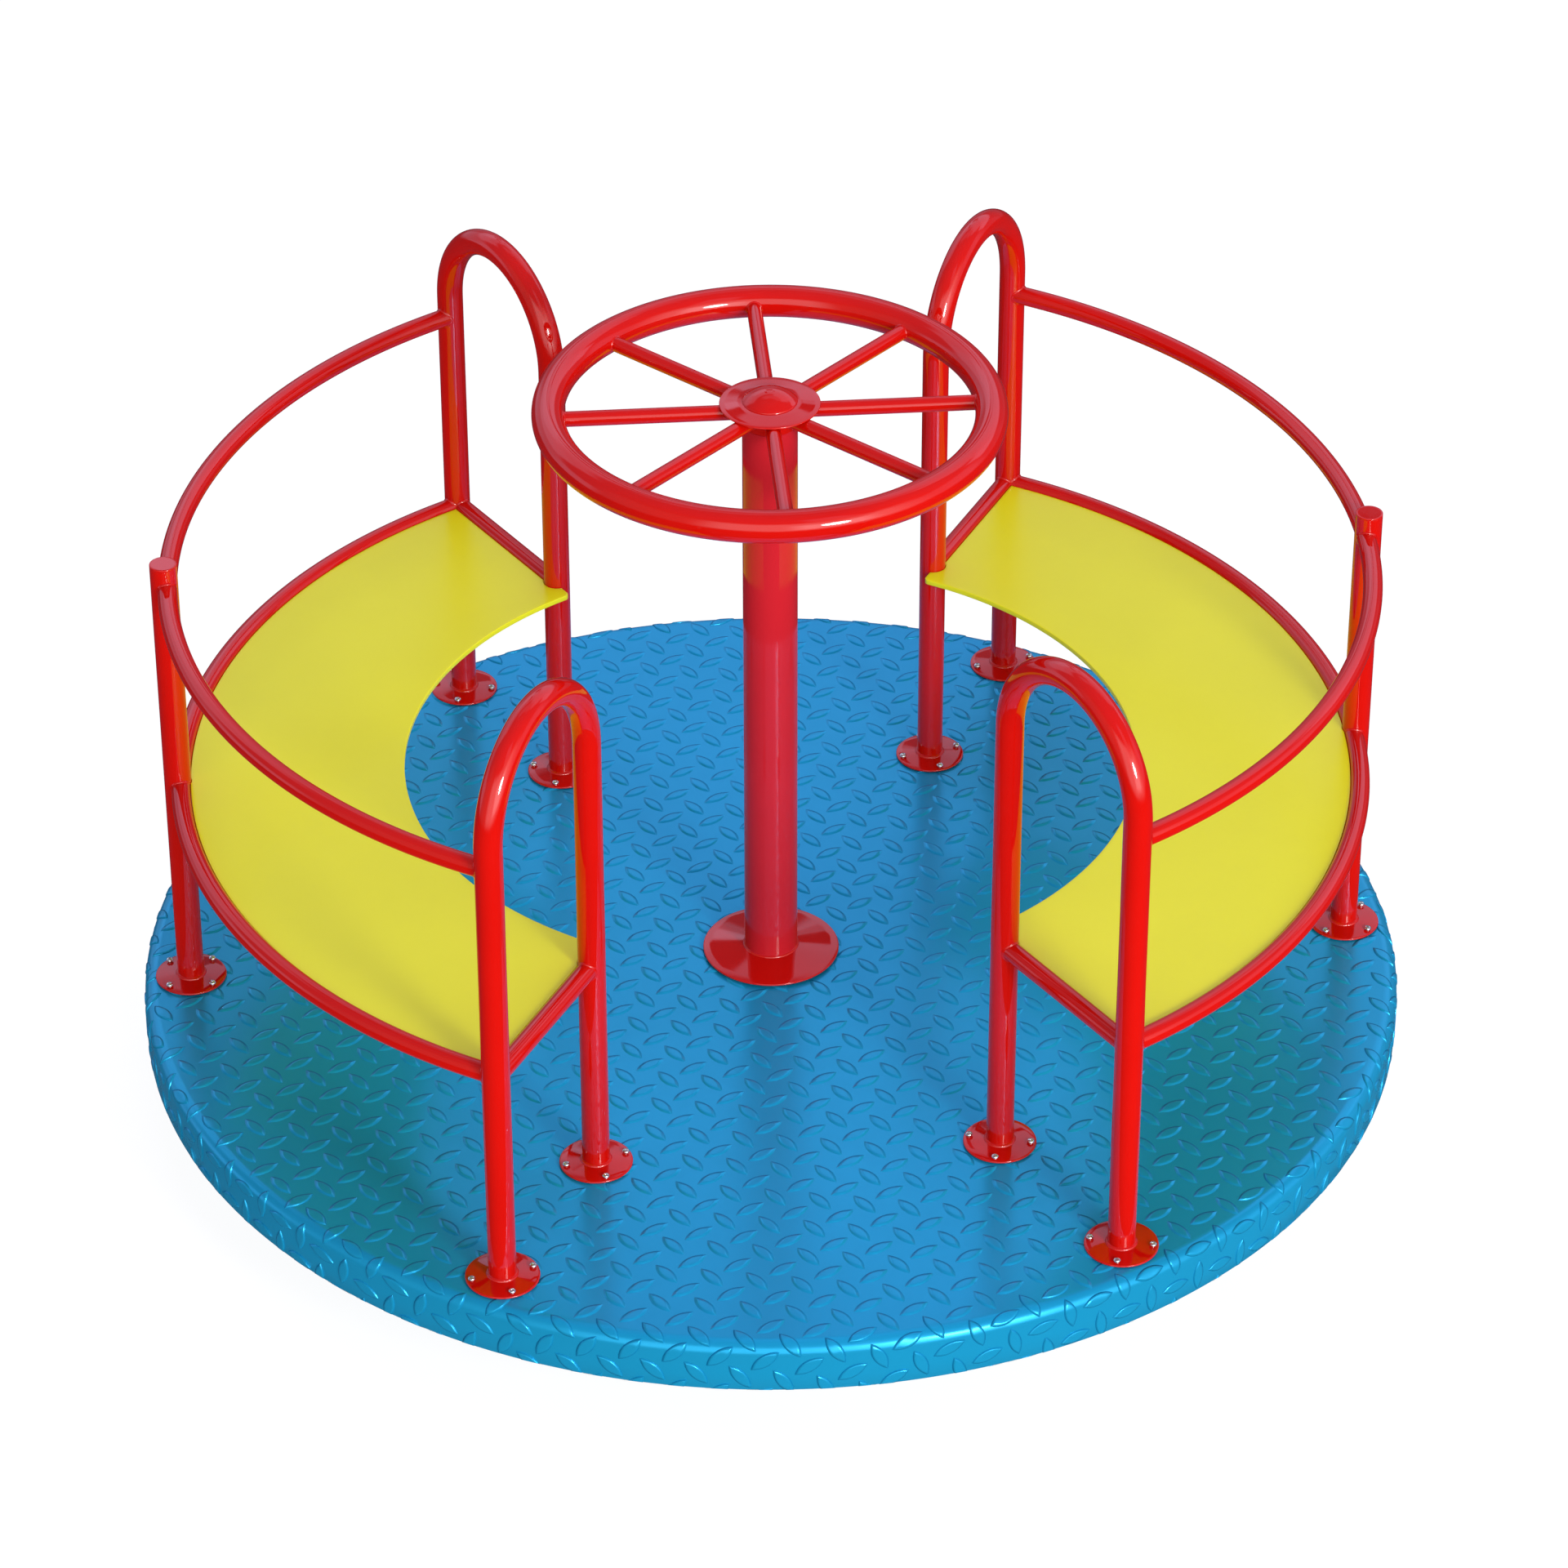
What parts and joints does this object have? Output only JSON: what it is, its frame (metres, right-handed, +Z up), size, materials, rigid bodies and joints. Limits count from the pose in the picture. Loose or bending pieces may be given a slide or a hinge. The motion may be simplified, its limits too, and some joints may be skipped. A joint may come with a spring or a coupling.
{
  "type": "merry go round",
  "caption": "Playground roundabout: tread-plate platform with curved seats, back rails and hoop handrails, turning on ball bearings about a fixed column with a hand wheel.",
  "frame": {"origin": "on the ground, in the middle of the underside of the base plate, on the axis the platform turns about", "axes": "+Z up along the column; X runs through the middles of the two seats; the open ways on are at +Y and -Y, and front is -Y"},
  "size_m": [1.8, 1.7996, 1.0975],
  "materials": {
    "red_paint": "gloss powder coat",
    "blue_paint": "satin paint on tread plate",
    "yellow_board": "satin polyethylene board",
    "stainless": "bright",
    "bearing_steel": "ground and polished",
    "brass": "turned",
    "seal_rubber": "matt",
    "galvanised": "hot dip galvanised"
  },
  "bodies": {
    "base": {"base_plate": "galvanised", "base_gussets": "galvanised", "bearing_carrier": "bearing_steel", "column": "red_paint", "lower_inner_race": "bearing_steel", "upper_inner_race": "bearing_steel", "inner_spacer": "bearing_steel", "lock_washer": "galvanised", "lock_nut": "galvanised", "column_cover": "red_paint", "column_insert": "galvanised", "wheel_hub": "red_paint", "wheel_key": "bearing_steel", "wheel_rim": "red_paint", "wheel_spokes": "red_paint", "hub_disc": "red_paint", "hub_washer": "galvanised", "hub_bolt": "galvanised", "dome_cap": "red_paint"},
    "platform": {"hub_tube": "galvanised", "hub_ring_plate": "galvanised", "lower_outer_race": "bearing_steel", "upper_outer_race": "bearing_steel", "bearing_shields": "seal_rubber", "lower_hub_seal": "seal_rubber", "upper_hub_seal": "seal_rubber", "grease_nipple": "stainless", "radial_beams": "galvanised", "deck_ribs": "galvanised", "rim_ring": "galvanised", "nut_plates": "galvanised", "deck": "blue_paint", "deck_rim": "blue_paint", "hoop_front_left": "red_paint", "hoop_front_right": "red_paint", "hoop_rear_left": "red_paint", "hoop_rear_right": "red_paint", "leg_flanges": "red_paint", "mid_post_left": "red_paint", "mid_post_right": "red_paint", "post_caps": "red_paint", "back_rail_left": "red_paint", "back_rail_right": "red_paint", "seat_rail_left": "red_paint", "seat_rail_right": "red_paint", "end_rails": "red_paint", "seat_left": "yellow_board", "seat_right": "yellow_board", "seat_brackets": "red_paint", "seat_screws": "stainless", "flange_screws": "stainless"},
    "lower_cage": {"lower_balls": "bearing_steel", "lower_ball_cage": "brass"},
    "upper_cage": {"upper_balls": "bearing_steel", "upper_ball_cage": "brass"}
  },
  "joints": [
    {"name": "platform_spin", "type": "hinge", "parent": "base", "child": "platform", "pos_m": [0, 0, 0.166], "axis": [0, 0, 1], "continuous": true},
    {"name": "lower_cage_spin", "type": "hinge", "parent": "base", "child": "lower_cage", "pos_m": [0, 0, 0.059], "axis": [0, 0, 1], "continuous": true},
    {"name": "upper_cage_spin", "type": "hinge", "parent": "base", "child": "upper_cage", "pos_m": [0, 0, 0.139], "axis": [0, 0, 1], "continuous": true}
  ],
  "couplings": [
    {"joint": "lower_cage_spin", "follows": "platform_spin", "ratio": 0.5836},
    {"joint": "upper_cage_spin", "follows": "platform_spin", "ratio": 0.5836}
  ]
}
